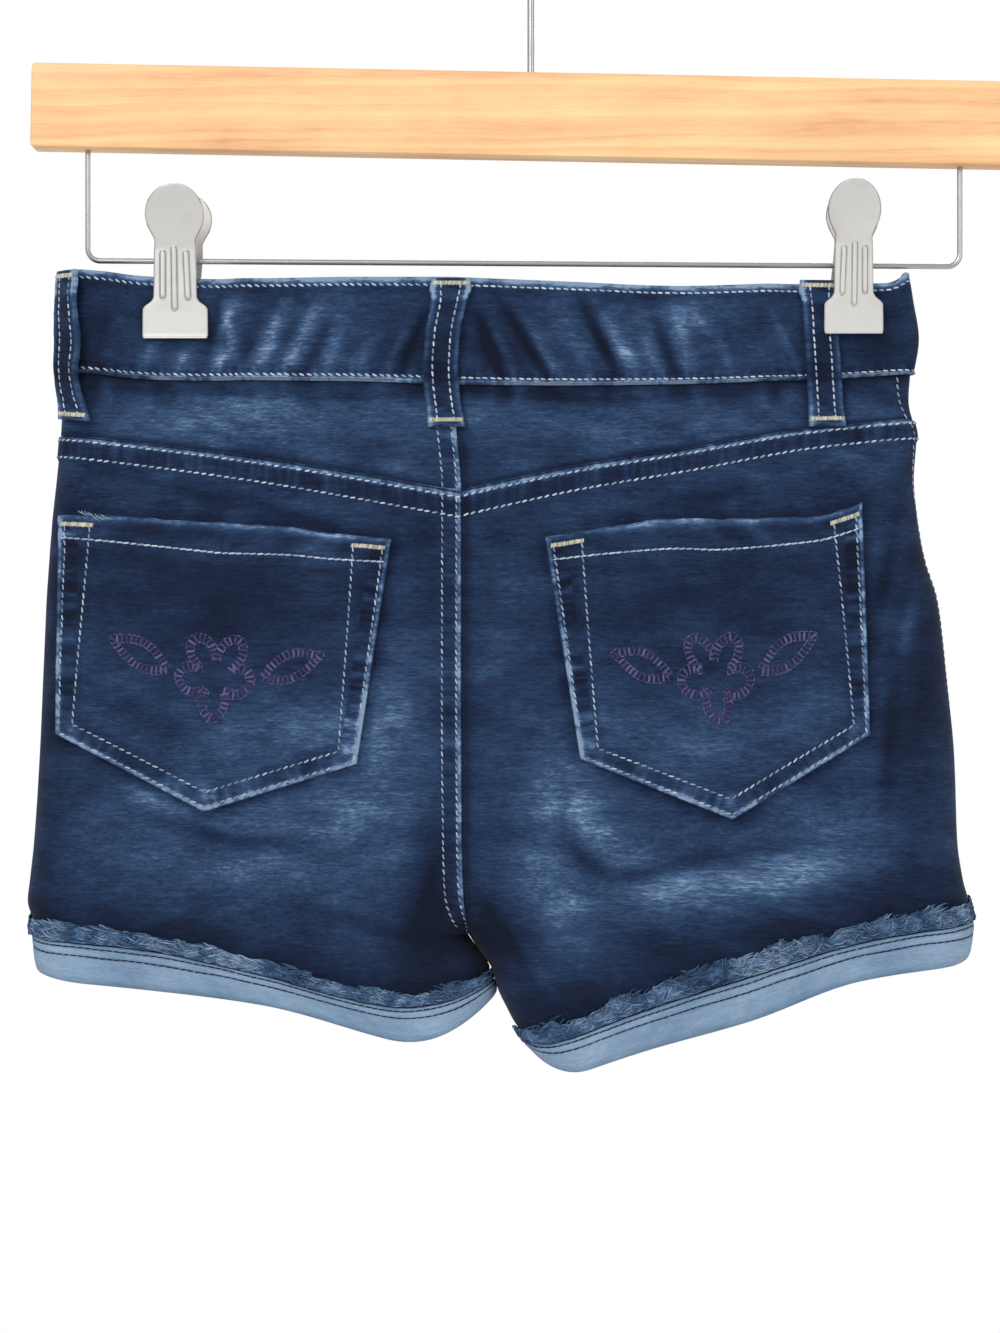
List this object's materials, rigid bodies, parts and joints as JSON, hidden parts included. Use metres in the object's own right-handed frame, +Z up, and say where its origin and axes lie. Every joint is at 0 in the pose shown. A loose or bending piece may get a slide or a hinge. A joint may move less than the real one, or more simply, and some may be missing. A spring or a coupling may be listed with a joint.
{
  "type": "denim shorts on a clip hanger",
  "caption": "Girls' denim shorts with turned-up frayed cuffs, hanging flat by the waistband from the metal clips of a wooden hanger.",
  "frame": {"origin": "inside top of the hook's bend, where it hangs on a rail", "axes": "+Z up, along the hook's stem; +X along the hanger's bar, towards the wearer's right; +Y towards the front of the shorts, so that their back faces -Y"},
  "size_m": [0.3603, 0.0412, 0.4387],
  "materials": {
    "denim": "indigo stretch denim, faded across the seat and thighs",
    "waistband_denim": "indigo stretch denim, folded and topstitched in cream",
    "denim_reverse": "pale inside of the denim, turned out",
    "frayed_edge": "raw edge, washed to tufts of pale and blue threads",
    "button_metal": "plain tack button",
    "hanger_wood": "pale varnished wood",
    "hanger_wire": "zinc-plated wire",
    "clip_steel": "pressed nickel-plated steel"
  },
  "bodies": {
    "root": {"back_panel_left": "denim", "back_panel_right": "denim", "front_panel_left": "denim", "front_panel_right": "denim", "yoke_left": "denim", "yoke_right": "denim", "waistband_left": "waistband_denim", "waistband_right": "waistband_denim", "back_pocket_left": "denim", "back_pocket_right": "denim", "belt_loop_centre_back": "waistband_denim", "belt_loop_left_back": "waistband_denim", "belt_loop_right_back": "waistband_denim", "belt_loop_left_front": "waistband_denim", "belt_loop_right_front": "waistband_denim", "fly": "denim", "button": "button_metal", "cuff_back_left": "denim_reverse", "cuff_back_right": "denim_reverse", "cuff_front_left": "denim_reverse", "cuff_front_right": "denim_reverse", "fray_back_left": "frayed_edge", "fray_back_right": "frayed_edge", "fray_front_left": "frayed_edge", "fray_front_right": "frayed_edge", "hanger_bar": "hanger_wood", "hanger_hook": "hanger_wire", "hanger_frame_wire": "hanger_wire", "clip_left_back": "clip_steel", "clip_left_front": "clip_steel", "clip_left_spring": "clip_steel", "clip_right_back": "clip_steel", "clip_right_front": "clip_steel", "clip_right_spring": "clip_steel"}
  },
  "joints": []
}
